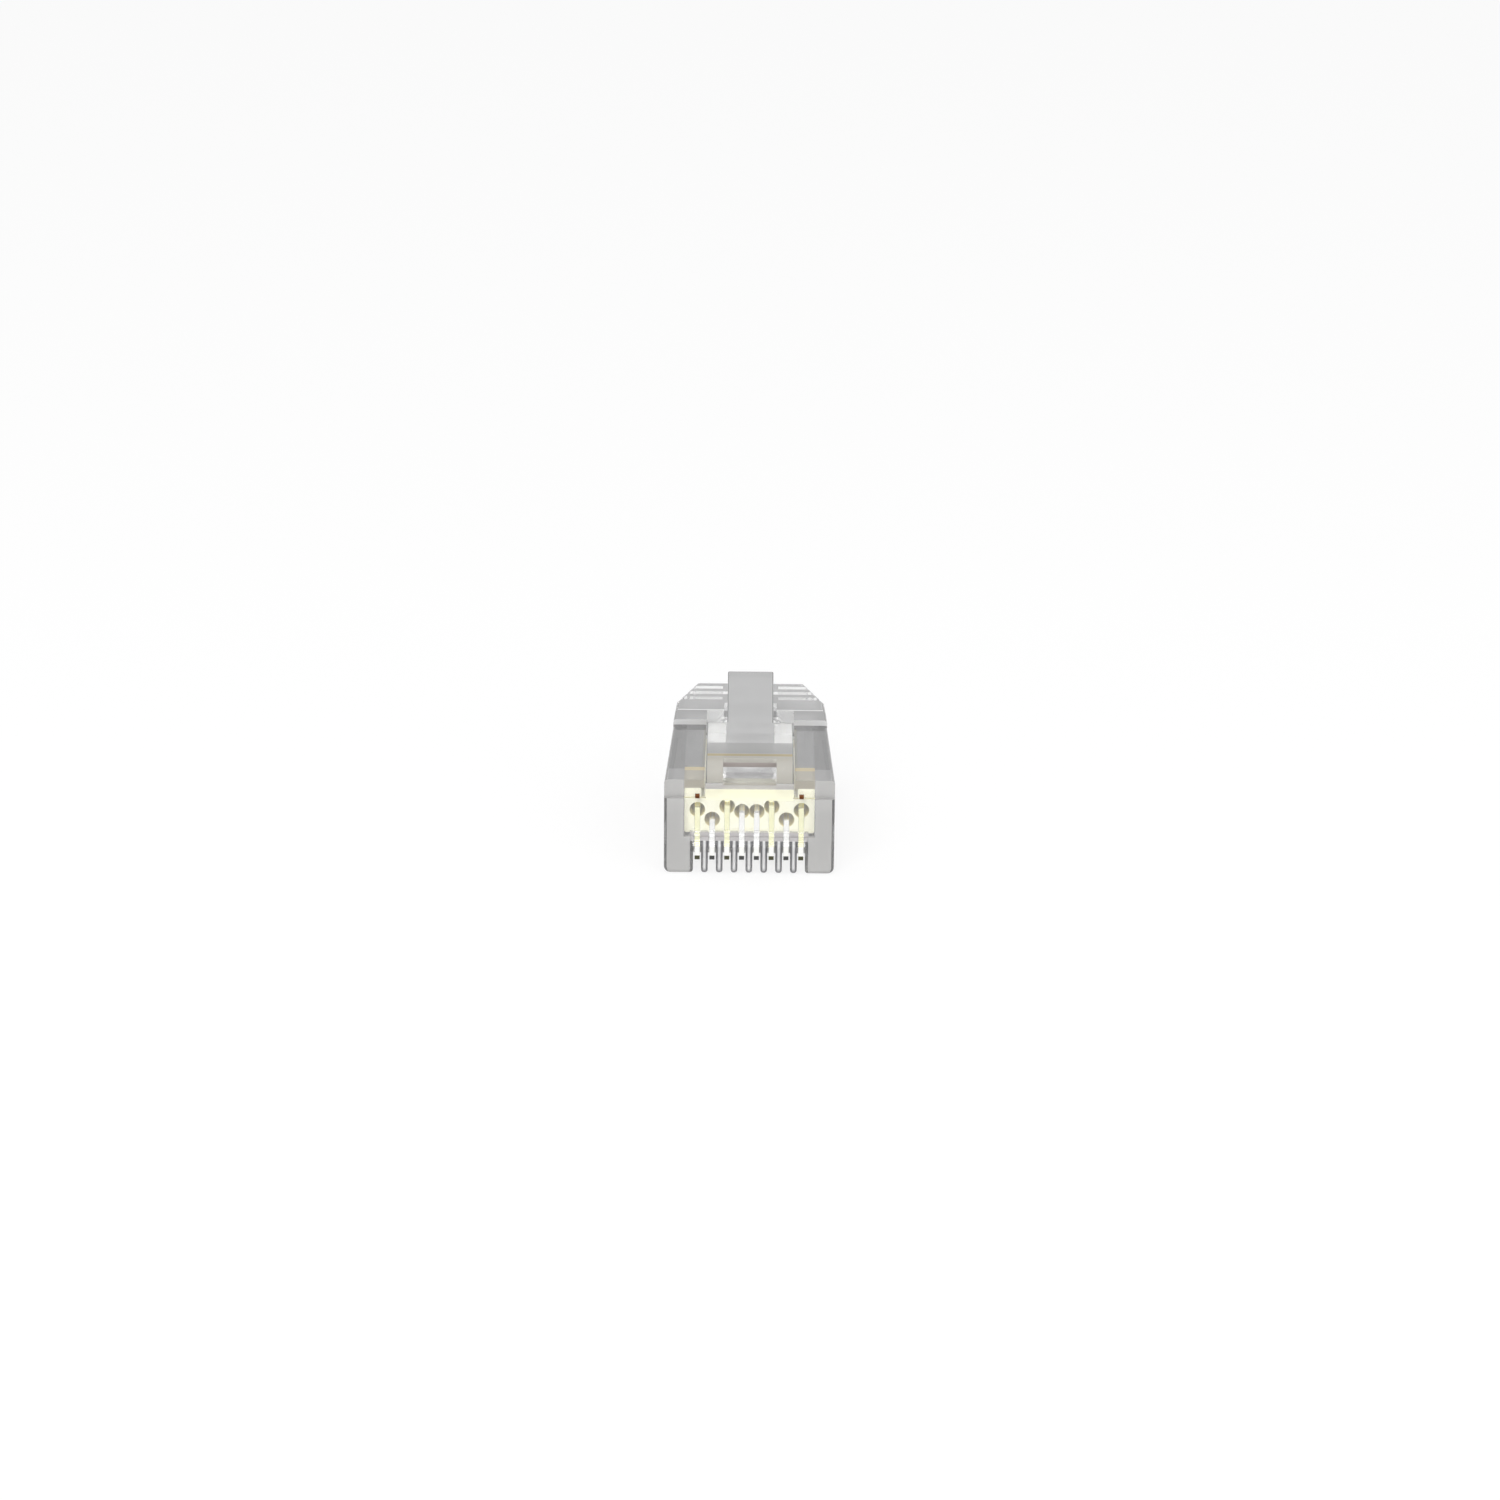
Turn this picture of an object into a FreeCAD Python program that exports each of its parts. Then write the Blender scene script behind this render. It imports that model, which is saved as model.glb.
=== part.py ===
import FreeCAD, Part
import os
import re
import Sketcher

# An eight-contact modular plug of clear plastic, in millimetres.
# Each piece is drawn with y as the distance back from the nose and z up from the flat
# underside. The bodies are then moved so that the origin lies under the middle of the plug.
# Cells of the sheet "dimensions": alias, value and what it measures.
DIMENSIONS = [
    ("housing_width", 11.68, "width across the nose"),
    ("seam_width", 10.78, "width where the strain relief meets the housing"),
    ("housing_height", 6.6, "height of the body behind the nose"),
    ("housing_length", 15.5, "nose to the strain relief"),
    ("collar_height", 7.0, "height of the raised band at the rear"),
    ("collar_start", 13.2, "nose to the raised band"),
    ("lower_edge_round", 0.45, "radius along the lower outer edges"),
    ("upper_edge_round", 0.25, "radius along the upper outer edges"),
    ("nose_edge_round", 0.3, "radius of the upright edges of the nose"),
    ("setback_depth", 0.45, "how far the upper front stands behind the nose"),
    ("ledge_height", 5.38, "underside to the ledge across the front"),
    ("panel_recess", 0.12, "how far the panel before the load bar stands behind the nose"),
    ("panel_margin", 0.15, "load bar's base to the lower edge of the panel"),
    ("root_drop", 0.1, "ledge to the lower edge of the latch's root"),
    ("root_round", 0.35, "radius of the lower corners of the latch's root"),
    ("front_wall", 0.8, "thickness of the wall in front of the wires"),
    ("cavity_floor", 0.6, "thickness of the housing's floor"),
    ("roof_wall", 0.28, "thickness between the rooms and the latch channel"),
    ("wire_room_end", 6.4, "nose to the foot of the inner ramp"),
    ("ramp_length", 1.8, "length of the inner ramp"),
    ("cable_room_start", 9.4, "nose to the wide room for the cable"),
    ("cable_room_width", 9.6, "width of the room for the cable"),
    ("channel_width", 6.2, "width of the channel under the latch"),
    ("channel_floor", 5.62, "underside to the floor of the channel"),
    ("collar_channel_floor", 6.1, "underside to the channel's floor in the raised band"),
    ("contact_count", 8, "number of contacts"),
    ("contact_pitch", 1.016, "spacing of the contacts"),
    ("contact_thickness", 0.35, "thickness of a contact blade"),
    ("contact_front", 1.0, "nose to the front edge of a blade"),
    ("contact_length", 3.1, "length of a blade"),
    ("contact_crest", 0.58, "underside to the lower edge of a pressed blade"),
    ("contact_round", 0.3, "radius of a blade's lower corners"),
    ("tine_root", 0.55, "depth of the notches between the tines above the bar's base"),
    ("tip_outer", 4.85, "height of the points of contacts 1 and 8"),
    ("tip_second", 3.75, "height of the points of contacts 2 and 7"),
    ("tip_third", 4.85, "height of the points of contacts 3 and 6"),
    ("tip_middle", 4.45, "height of the points of contacts 4 and 5"),
    ("slot_width", 0.555, "width of an open slot between the fins"),
    ("slot_height", 1.85, "height of an open slot"),
    ("slot_length", 4.5, "length of an open slot"),
    ("lead_height", 2.35, "height of the shallow groove in front of a slot"),
    ("lead_depth", 0.3, "depth of that groove"),
    ("fin_round", 0.2, "radius along the edges of the fins"),
    ("blade_clearance", 0.02, "gap on each side of a blade in its slit"),
    ("bar_width", 8.9, "width of the load bar"),
    ("bar_length", 3.4, "length of the load bar"),
    ("bar_bottom", 2.8, "underside to the base of the load bar"),
    ("bar_top", 5.3, "underside to the top of the load bar under the channel"),
    ("bar_side_top", 5.95, "underside to the top of the load bar beside the channel"),
    ("channel_side_wall", 0.2, "thickness between the channel and the rooms beside it"),
    ("bar_clearance", 0.02, "gap between the load bar and its room"),
    ("bar_round", 0.15, "radius along the load bar's long edges"),
    ("wire_hole_radius", 0.53, "radius of a wire hole"),
    ("hole_outer", 4.43, "height of wire holes 1 and 8"),
    ("hole_second", 3.74, "height of wire holes 2 and 7"),
    ("hole_third", 4.68, "height of wire holes 3 and 6"),
    ("hole_middle", 4.32, "height of wire holes 4 and 5"),
    ("latch_width", 6.02, "width of the latch up to its shoulders"),
    ("latch_thickness", 0.6, "thickness of the latch at its root"),
    ("latch_angle", 14.4, "slope of the latch above level, in degrees"),
    ("pivot_back", 1.0, "nose to the line about which the latch bends"),
    ("pivot_rise", 0.43, "channel's floor to the line about which the latch bends"),
    ("pivot_height", "=channel_floor + pivot_rise", "underside to that line"),
    ("pivot_clearance", 0.02, "gap between the root of the latch and its seat"),
    ("shoulder_back", 8.4, "nose to the shoulders of the latch"),
    ("shoulder_bottom", 6.62, "underside to the lower face at the shoulders"),
    ("window_width", 3.66, "width of the window between the legs of the latch"),
    ("window_start", 0.45, "nose to the window"),
    ("window_end", 3.8, "nose to the rear edge of the window"),
    ("handle_width", 3.25, "width of the latch handle"),
    ("handle_thickness", 0.97, "thickness of the latch handle"),
    ("handle_angle", 14.4, "slope of the latch handle, in degrees"),
    ("handle_end", 16.3, "nose to the end of the latch handle"),
    ("latch_round", 0.12, "radius along the edges of the latch and its handle"),
    ("handle_clearance", 0.25, "gap on each side of the handle in its groove"),
    ("anchor_start", 9.9, "nose to the window of the cable anchor"),
    ("anchor_window", 2.6, "length of the window of the cable anchor"),
    ("anchor_width", 7.0, "width of the cable anchor"),
    ("anchor_height", 1.0, "height of the cable anchor"),
    ("anchor_gap", 0.2, "gap around the cable anchor"),
    ("anchor_web", 0.25, "thickness of the web that carries the anchor"),
    ("cable_radius", 2.85, "radius of the cable entry in the strain relief's solid front"),
    ("rib_bore_radius", 3.0, "radius of the wider hole through the ribs"),
    ("cable_height", 3.3, "underside to the centre of the cable entry"),
    ("relief_straight", 2.2, "length of the strain relief before it narrows"),
    ("relief_taper", 0.08, "how much each side draws in over that length"),
    ("relief_block", 2.65, "length of the strain relief's solid front"),
    ("relief_end_width", 8.0, "width of the last rib"),
    ("relief_edge_round", 0.3, "radius along the strain relief's edges"),
    ("rib_gap", 0.67, "width of a gap between the ribs"),
    ("rib_thickness", 0.68, "thickness of a rib"),
    ("spine_width", 4.0, "width of the spines that join the ribs"),
    ("web_height", 2.6, "height of the side webs at the middle gap"),
    ("handle_groove_floor", 6.42, "underside to the handle's groove in the strain relief"),
    ("handle_groove_length", 1.8, "length of the handle's groove in the strain relief"),
    ("arm_length", 3.7, "length of the strain relief's arms"),
    ("arm_thickness", 0.85, "thickness of an arm"),
    ("arm_bottom", 1.0, "underside to the arms"),
    ("arm_top", 5.0, "underside to the top of the arms"),
    ("arm_clearance", 0.05, "gap between an arm and the side wall"),
    ("hook_height", 2.2, "height of the hook on an arm"),
    ("hook_length", 1.5, "length of the hook on an arm"),
    ("hook_reach", 0.42, "how far a hook stands into its window"),
    ("hook_setback", 0.35, "strain relief's front face to the hook"),
    ("hook_clearance", 0.1, "gap around a hook in its window"),
]
ALIASES = {name for name, _, _ in DIMENSIONS}
RIB_COUNT = 3
REACH = 30.0  # longer than any cut has to be
DOCUMENT = FreeCAD.newDocument("modular_plug")
SHEET = DOCUMENT.addObject("Spreadsheet::Sheet", "dimensions")

# Lengths worked out from the driving dimensions.
LOAD_ROOM_TOP = "(channel_floor - roof_wall)"
COLLAR_ROOM_TOP = "(collar_channel_floor - roof_wall)"
RIB_PITCH = "(rib_gap + rib_thickness)"
BLOCK_END = "(housing_length + relief_block)"
OVERALL_LENGTH = f"({BLOCK_END} + {RIB_COUNT} * {RIB_PITCH})"
NARROWING = f"((seam_width - relief_end_width) / 2 / ({OVERALL_LENGTH} - housing_length - relief_straight))"
SLIT_WIDTH = "(contact_thickness + 2 * blade_clearance)"
ARM_OUTSIDE = "(cable_room_width / 2 - arm_clearance)"
CONTACT_BASE = "(bar_bottom + tine_root)"
BAR_STEP = "(channel_width / 2 + channel_side_wall)"
HANDLE_START = "(shoulder_back - latch_thickness)"
BAR_HEIGHTS = ["outer", "second", "third", "middle", "middle", "third", "second", "outer"]


def bound(expression):
    """Point each alias in an expression at its cell."""
    return re.sub(
        r"[a-z_]+",
        lambda word: f"dimensions.{word[0]}" if word[0] in ALIASES else word[0],
        str(expression),
    )


def value(expression):
    """The number that an expression gives now."""
    return float(SHEET.evalExpression(bound(expression)))


def fill_sheet():
    for row, (name, number, note) in enumerate(DIMENSIONS, start=1):
        SHEET.set(f"A{row}", name)
        SHEET.set(f"B{row}", str(number))
        SHEET.set(f"C{row}", note)
        SHEET.setAlias(f"B{row}", name)
    DOCUMENT.recompute()


def new_body(name, x="0"):
    """An empty body, placed so that the plug's origin lies under its middle."""
    body = DOCUMENT.addObject("PartDesign::Body", name)
    body.Label = name
    body.setExpression("Placement.Base.x", bound(x))
    body.setExpression("Placement.Base.y", bound(f"-{OVERALL_LENGTH} / 2"))
    return body


def new_sketch(body, name, plane, offset="0"):
    """A sketch on one of the body's own planes, moved along the plane's normal."""
    sketch = body.newObject("Sketcher::SketchObject", name)
    base = next(item for item in body.Origin.OriginFeatures if item.Role == plane)
    sketch.AttachmentSupport = [(base, "")]
    sketch.MapMode = "FlatFace"
    sketch.setExpression("AttachmentOffset.Base.z", bound(offset))
    return sketch


def add_constraint(sketch, name, expression, *reference):
    """A dimension of the sketch, driven by the sheet."""
    index = sketch.addConstraint(Sketcher.Constraint(*reference, value(expression)))
    sketch.renameConstraint(index, name)
    sketch.setExpression(f"Constraints.{name}", bound(expression))


def outline(body, name, plane, corners, offset="0", arcs=None):
    """A closed outline through corners given as pairs of expressions.

    arcs maps a corner's number to (u of the arc's centre, a point on the arc) for the side
    that starts there.
    """
    sketch = new_sketch(body, name, plane, offset)
    arcs = arcs or {}
    points = [FreeCAD.Vector(value(u), value(v), 0) for u, v in corners]
    count = len(points)
    for number, start in enumerate(points):
        end = points[(number + 1) % count]
        if number in arcs:
            bulge = FreeCAD.Vector(*[value(part) for part in arcs[number][1]], 0)
            sketch.addGeometry(Part.Arc(start, bulge, end), False)
        else:
            sketch.addGeometry(Part.LineSegment(start, end), False)
    for number in range(count):
        ends = arc_ends(sketch, number, points[number], number in arcs)
        following = (number + 1) % count
        next_ends = arc_ends(sketch, following, points[following], following in arcs)
        sketch.addConstraint(
            Sketcher.Constraint("Coincident", number, ends[1], following, next_ends[0])
        )
        u, v = corners[number]
        add_constraint(sketch, f"u{number}", u, "DistanceX", -1, 1, number, ends[0])
        add_constraint(sketch, f"v{number}", v, "DistanceY", -1, 1, number, ends[0])
        if number in arcs:
            add_constraint(sketch, f"c{number}", arcs[number][0], "DistanceX", -1, 1, number, 3)
    return sketch


def arc_ends(sketch, number, start, is_arc):
    """Which end of a side is its start and which its end: an arc always runs anticlockwise."""
    if is_arc and sketch.getPoint(number, 1).distanceToPoint(start) > 1e-6:
        return 2, 1
    return 1, 2


def rectangle(body, name, plane, low, high, offset="0"):
    corners = [low, (high[0], low[1]), high, (low[0], high[1])]
    return outline(body, name, plane, corners, offset)


def circle(body, name, plane, centre, radius, offset="0"):
    sketch = new_sketch(body, name, plane, offset)
    middle = FreeCAD.Vector(value(centre[0]), value(centre[1]), 0)
    sketch.addGeometry(Part.Circle(middle, FreeCAD.Vector(0, 0, 1), value(radius)), False)
    add_constraint(sketch, "u0", centre[0], "DistanceX", -1, 1, 0, 3)
    add_constraint(sketch, "v0", centre[1], "DistanceY", -1, 1, 0, 3)
    add_constraint(sketch, "r0", radius, "Radius", 0)
    return sketch


def pad(body, sketch, length, both_ways=False, backwards=False):
    """Add the sketch's outline, extruded."""
    feature = body.newObject("PartDesign::Pad", f"{sketch.Name}_pad")
    return extrude(feature, sketch, length, both_ways, backwards)


def pocket(body, sketch, length, both_ways=False, backwards=False):
    """Cut the sketch's outline, and make sure that it took something away."""
    before = body.Shape.Volume
    feature = body.newObject("PartDesign::Pocket", f"{sketch.Name}_pocket")
    extrude(feature, sketch, length, both_ways, backwards)
    if body.Shape.Volume > before - 1e-6:
        raise RuntimeError(f"{feature.Name} cuts nothing")
    return feature


def extrude(feature, sketch, length, both_ways, backwards):
    feature.Profile = sketch
    feature.setExpression("Length", bound(length))
    feature.SideType = "Symmetric" if both_ways else "One side"
    feature.Reversed = backwards
    DOCUMENT.recompute()
    return feature


def mirror(body, feature):
    """Repeat a feature on the other side of the plug's middle plane."""
    copy = body.newObject("PartDesign::Mirrored", f"{feature.Name}_mirror")
    copy.Originals = [feature]
    plane = next(item for item in body.Origin.OriginFeatures if item.Role == "YZ_Plane")
    copy.MirrorPlane = (plane, [""])
    body.Tip = copy
    DOCUMENT.recompute()
    return copy


def repeat_across(body, feature):
    """Repeat a feature once for each contact, along x."""
    pattern = body.newObject("PartDesign::LinearPattern", f"{feature.Name}_row")
    pattern.Originals = [feature]
    axis = next(item for item in body.Origin.OriginFeatures if item.Role == "X_Axis")
    pattern.Direction = (axis, [""])
    pattern.setExpression("Length", bound("(contact_count - 1) * contact_pitch"))
    pattern.setExpression("Occurrences", bound("contact_count"))
    body.Tip = pattern
    DOCUMENT.recompute()
    return pattern


def round_edges(body, name, radius, wanted):
    """Fillet the edges of the body's tip whose bounding boxes pass the test."""
    tip = body.Tip
    names = [
        f"Edge{number}"
        for number, edge in enumerate(tip.Shape.Edges, start=1)
        if wanted(edge.BoundBox)
    ]
    feature = body.newObject("PartDesign::Fillet", name)
    feature.Base = (tip, names)
    feature.setExpression("Radius", bound(radius))
    DOCUMENT.recompute()
    return feature


def near(first, second):
    return abs(first - second) < 1e-4


def latch_top(distance):
    """Height of the latch's upper face at a distance back from the nose."""
    return (
        f"(pivot_height + latch_thickness / 2 / cos(latch_angle)"
        f" + ({distance} - pivot_back) * tan(latch_angle))"
    )


def housing_shell():
    """The outer form: tapered in plan, with a raised band at the rear."""
    body = new_body("housing")
    plan = [
        ("-housing_width / 2", "0"),
        ("housing_width / 2", "0"),
        ("seam_width / 2", "housing_length"),
        ("-seam_width / 2", "housing_length"),
    ]
    pad(body, outline(body, "housing_plan", "XY_Plane", plan), "collar_height")
    low_top = rectangle(
        body, "low_top", "YZ_Plane", ("-1", "housing_height"), ("collar_start", "collar_height + 1")
    )
    pocket(body, low_top, REACH, both_ways=True)
    round_edges(
        body, "lower_rounds", "lower_edge_round",
        lambda box: near(box.ZMax, 0) and box.YLength > value("housing_length") / 2,
    )
    round_edges(
        body, "nose_rounds", "nose_edge_round",
        lambda box: near(box.YMax, 0) and box.ZLength > value("housing_height") / 2,
    )
    round_edges(
        body, "upper_rounds", "upper_edge_round",
        lambda box: box.ZMin > value("housing_height") - 0.01 and near(box.ZLength, 0)
        and box.YLength > 1 and box.XLength < 1,
    )
    return body


def housing_front(body):
    """The set-back upper front, the latch channel and the block that carries the latch."""
    setback = rectangle(
        body, "setback", "YZ_Plane", ("-1", "ledge_height"), ("setback_depth", "housing_height + 1")
    )
    pocket(body, setback, REACH, both_ways=True)
    channel = [
        ("-1", "channel_floor"),
        ("collar_start", "channel_floor"),
        ("collar_start", "collar_channel_floor"),
        ("housing_length + 1", "collar_channel_floor"),
        ("housing_length + 1", "collar_height + 1"),
        ("-1", "collar_height + 1"),
    ]
    pocket(body, outline(body, "channel", "YZ_Plane", channel), "channel_width", both_ways=True)
    panel = rectangle(
        body, "panel", "YZ_Plane", ("-1", "bar_bottom - panel_margin"), ("panel_recess", "ledge_height + 1")
    )
    pocket(body, panel, "bar_width", both_ways=True)
    lip = "(pivot_back - 0.9 * latch_thickness / 2)"
    root = [
        ("0", "ledge_height - root_drop"),
        ("pivot_back", "ledge_height - root_drop"),
        ("pivot_back", "pivot_height"),
        (lip, "pivot_height"),
        (lip, latch_top(lip)),
        ("0", latch_top("0")),
    ]
    pad(body, outline(body, "latch_root", "YZ_Plane", root), "latch_width", both_ways=True)
    round_edges(
        body, "root_rounds", "root_round",
        lambda box: near(box.ZMin, value("ledge_height - root_drop")) and near(box.XLength, 0)
        and near(box.ZLength, 0) and near(box.YMin, 0),
    )
    seat = circle(
        body, "latch_seat", "YZ_Plane", ("pivot_back", "pivot_height"),
        "latch_thickness / 2 + pivot_clearance",
    )
    pocket(body, seat, "channel_width", both_ways=True)
    window = rectangle(
        body, "root_window", "YZ_Plane", ("window_start", "channel_floor"),
        ("pivot_back + 1", "housing_height + 1"),
    )
    pocket(body, window, "window_width", both_ways=True)


def housing_rooms(body):
    """The room of the load bar and the wires, and the wider one that takes the cable."""
    room_width = "bar_width + 2 * bar_clearance"
    ramp_end = "(wire_room_end + ramp_length)"
    wires = [
        ("front_wall", "bar_bottom - bar_clearance"),
        ("wire_room_end", "bar_bottom - bar_clearance"),
        (ramp_end, "cavity_floor"),
        ("cable_room_start + 0.5", "cavity_floor"),
        ("cable_room_start + 0.5", LOAD_ROOM_TOP),
        ("front_wall", LOAD_ROOM_TOP),
    ]
    pocket(body, outline(body, "wire_room", "YZ_Plane", wires), room_width, both_ways=True)
    beside = rectangle(
        body, "side_room", "YZ_Plane", ("front_wall", f"{LOAD_ROOM_TOP} - 0.1"),
        ("housing_length + 1", "bar_side_top + bar_clearance"), f"{BAR_STEP} - bar_clearance",
    )
    width = f"bar_width / 2 + 2 * bar_clearance - {BAR_STEP}"
    mirror(body, pocket(body, beside, width, backwards=True))
    cable = [
        ("cable_room_start", "cavity_floor"),
        ("housing_length + 1", "cavity_floor"),
        ("housing_length + 1", COLLAR_ROOM_TOP),
        ("collar_start", COLLAR_ROOM_TOP),
        ("collar_start", LOAD_ROOM_TOP),
        ("cable_room_start", LOAD_ROOM_TOP),
    ]
    sketch = outline(body, "cable_room", "YZ_Plane", cable)
    pocket(body, sketch, "cable_room_width", both_ways=True)


def housing_slots(body):
    """Open slots for the jack's springs, and a slit above each for its contact blade."""
    first = "-(contact_count - 1) * contact_pitch / 2"
    slot = rectangle(body, "slot", "YZ_Plane", ("-1", "-1"), ("slot_length", "slot_height"), first)
    repeat_across(body, pocket(body, slot, "slot_width", both_ways=True))
    lead = rectangle(body, "lead", "YZ_Plane", ("-1", "slot_height / 2"), ("lead_depth", "lead_height"), first)
    repeat_across(body, pocket(body, lead, "slot_width", both_ways=True))
    fin_limit = "0.45 * (contact_pitch - slot_width)"
    round_edges(body, "fin_rounds", f"min(fin_round; {fin_limit})", is_fin_edge)
    slit = rectangle(
        body, "slit", "YZ_Plane",
        ("contact_front - blade_clearance", "slot_height - 0.5"),
        ("contact_front + contact_length + blade_clearance", "bar_bottom + 0.2"), first,
    )
    repeat_across(body, pocket(body, slit, SLIT_WIDTH, both_ways=True))


def is_fin_edge(box):
    """The long lower edges that the slots leave, and the upright ones at the nose."""
    inside = max(abs(box.XMin), abs(box.XMax)) < value("contact_count * contact_pitch / 2")
    lower = near(box.ZMax, 0) and box.YLength > 1
    upright = near(box.YMax, 0) and box.ZLength > value("slot_height / 2")
    return inside and near(box.XLength, 0) and (lower or upright)


def housing_anchor(body):
    """The window in the floor with the bar that is pressed in to hold the cable's jacket."""
    end = "(anchor_start + anchor_window)"
    window = rectangle(
        body, "anchor_window", "YZ_Plane", ("anchor_start", "-1"), (end, "cavity_floor + 0.2")
    )
    pocket(body, window, "anchor_width + 2 * anchor_gap", both_ways=True)
    bar = [
        ("anchor_start + anchor_gap", "0"),
        (f"{end} + anchor_web", "0"),
        (f"{end} + anchor_web", "anchor_web"),
        (f"{end} - anchor_gap", "anchor_web"),
        (f"{end} - anchor_gap", "anchor_height / 2"),
        ("anchor_start + 2 * anchor_gap", "anchor_height"),
        ("anchor_start + anchor_gap", "anchor_height"),
    ]
    pad(body, outline(body, "anchor", "YZ_Plane", bar), "anchor_width", both_ways=True)


def housing_hook_windows(body):
    """Windows in the side walls that the strain relief's hooks snap into."""
    end = "(housing_length - hook_setback + hook_clearance)"
    start = "(housing_length - hook_setback - hook_length - hook_clearance)"
    middle = "(arm_bottom + arm_top) / 2"
    window = rectangle(
        body, "hook_window", "YZ_Plane",
        (start, f"{middle} - hook_height / 2 - hook_clearance"),
        (end, f"{middle} + hook_height / 2 + hook_clearance"),
    )
    pocket(body, window, REACH, both_ways=True)


def make_housing():
    body = housing_shell()
    housing_front(body)
    housing_rooms(body)
    housing_slots(body)
    housing_anchor(body)
    housing_hook_windows(body)
    return body


def make_latch():
    """The latch: two legs at the root, stepped shoulders and a narrow handle."""
    body = new_body("latch_lever")
    knee = "(pivot_back + (shoulder_bottom - pivot_height + latch_thickness / 2 / cos(latch_angle))"
    knee += " / tan(latch_angle))"
    sine = "latch_thickness / 2 * sin(latch_angle)"
    cosine = "latch_thickness / 2 * cos(latch_angle)"
    side = [
        (f"pivot_back - {sine}", f"pivot_height + {cosine}"),
        (f"pivot_back + {sine}", f"pivot_height - {cosine}"),
        (knee, "shoulder_bottom"),
        ("shoulder_back", "shoulder_bottom"),
        ("shoulder_back", latch_top("shoulder_back")),
    ]
    bulge = (f"pivot_back - {cosine}", f"pivot_height - {sine}")
    root = {0: ("pivot_back", bulge)}
    wide = outline(body, "latch_side", "YZ_Plane", side, arcs=root)
    pad(body, wide, "latch_width", both_ways=True)
    window = rectangle(body, "latch_window", "YZ_Plane", ("0", "0"), ("window_end", "collar_height + 1"))
    pocket(body, window, "window_width", both_ways=True)
    slope = "tan(handle_angle)"
    depth = "handle_thickness / cos(handle_angle)"
    rise = f"(handle_end - shoulder_back) * {slope}"
    lead = f"({HANDLE_START} - shoulder_back) * {slope}"
    handle = [
        (HANDLE_START, "shoulder_bottom + 0.05"),
        ("shoulder_back", "shoulder_bottom"),
        ("handle_end", f"shoulder_bottom + {rise}"),
        ("handle_end", f"shoulder_bottom + {depth} + {rise}"),
        (HANDLE_START, f"shoulder_bottom + {depth} + {lead}"),
    ]
    pad(body, outline(body, "handle_side", "YZ_Plane", handle), "handle_width", both_ways=True)
    round_edges(
        body, "latch_rounds", "latch_round",
        lambda box: near(box.XLength, 0) and box.YLength > value("window_end"),
    )
    return body


def make_contact(number):
    """One contact blade: rounded below, with three points that pierce its wire."""
    middle = f"({number} - (contact_count + 1) / 2) * contact_pitch"
    body = new_body(f"contact_{number}", middle)
    tip = f"tip_{BAR_HEIGHTS[number - 1]}"
    end = "(contact_front + contact_length)"
    corners = [
        ("contact_front + contact_round", "contact_crest"),
        (f"{end} - contact_round", "contact_crest"),
        (end, "contact_crest + contact_round"),
        (end, f"{tip} - 0.35"),
    ]
    tine = "contact_length / 3"
    for gap in (2, 1):
        corners.append((f"contact_front + {tine} * {gap + 0.72}", tip))
        corners.append((f"contact_front + {tine} * {gap + 0.2}", CONTACT_BASE))
        corners.append((f"contact_front + {tine} * {gap - 0.2}", CONTACT_BASE))
    corners.append((f"contact_front + {tine} * 0.28", tip))
    corners.append(("contact_front", f"{tip} - 0.35"))
    corners.append(("contact_front", "contact_crest + contact_round"))
    inset = "(1 - cos(45)) * contact_round"
    rear = (f"{end} - {inset}", f"contact_crest + {inset}")
    front = (f"contact_front + {inset}", f"contact_crest + {inset}")
    arcs = {
        1: (f"{end} - contact_round", rear),
        len(corners) - 1: ("contact_front + contact_round", front),
    }
    sketch = outline(body, f"blade_{number}", "YZ_Plane", corners, arcs=arcs)
    pad(body, sketch, "contact_thickness", both_ways=True)
    return body


def make_load_bar():
    """The bar that holds the eight wires at their heights, slit below for the blades."""
    body = new_body("load_bar")
    front = [
        ("-bar_width / 2", "bar_bottom"),
        ("bar_width / 2", "bar_bottom"),
        ("bar_width / 2", "bar_side_top"),
        (BAR_STEP, "bar_side_top"),
        (BAR_STEP, "bar_top"),
        (f"-{BAR_STEP}", "bar_top"),
        (f"-{BAR_STEP}", "bar_side_top"),
        ("-bar_width / 2", "bar_side_top"),
    ]
    block = outline(body, "bar_block", "XZ_Plane", front, "-front_wall - bar_clearance")
    pad(body, block, "bar_length", backwards=True)
    round_edges(
        body, "bar_rounds", "bar_round",
        lambda box: near(box.XLength, 0) and near(box.ZLength, 0)
        and not near(box.ZMin, value("bar_top")),
    )
    for number, row in enumerate(BAR_HEIGHTS, start=1):
        middle = f"({number} - (contact_count + 1) / 2) * contact_pitch"
        hole = circle(body, f"wire_hole_{number}", "XZ_Plane", (middle, f"hole_{row}"), "wire_hole_radius")
        pocket(body, hole, REACH, both_ways=True)
        slit = rectangle(
            body, f"bar_slit_{number}", "YZ_Plane",
            ("0", "0"),
            ("contact_front + contact_length + blade_clearance", f"tip_{row} + blade_clearance"),
            middle,
        )
        pocket(body, slit, SLIT_WIDTH, both_ways=True)
    return body


def relief_block(body):
    """The outer form, which narrows towards the cable, and the cable's bore."""
    straight_end = "(housing_length + relief_straight)"
    plan = [
        ("-seam_width / 2", "housing_length"),
        ("seam_width / 2", "housing_length"),
        ("seam_width / 2 - relief_taper", straight_end),
        ("relief_end_width / 2", OVERALL_LENGTH),
        ("-relief_end_width / 2", OVERALL_LENGTH),
        ("relief_taper - seam_width / 2", straight_end),
    ]
    pad(body, outline(body, "relief_plan", "XY_Plane", plan), "collar_height")
    round_edges(
        body, "relief_rounds", "relief_edge_round",
        lambda box: near(box.ZLength, 0) and box.YLength > 1 and box.XLength < value("seam_width") / 2,
    )


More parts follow.
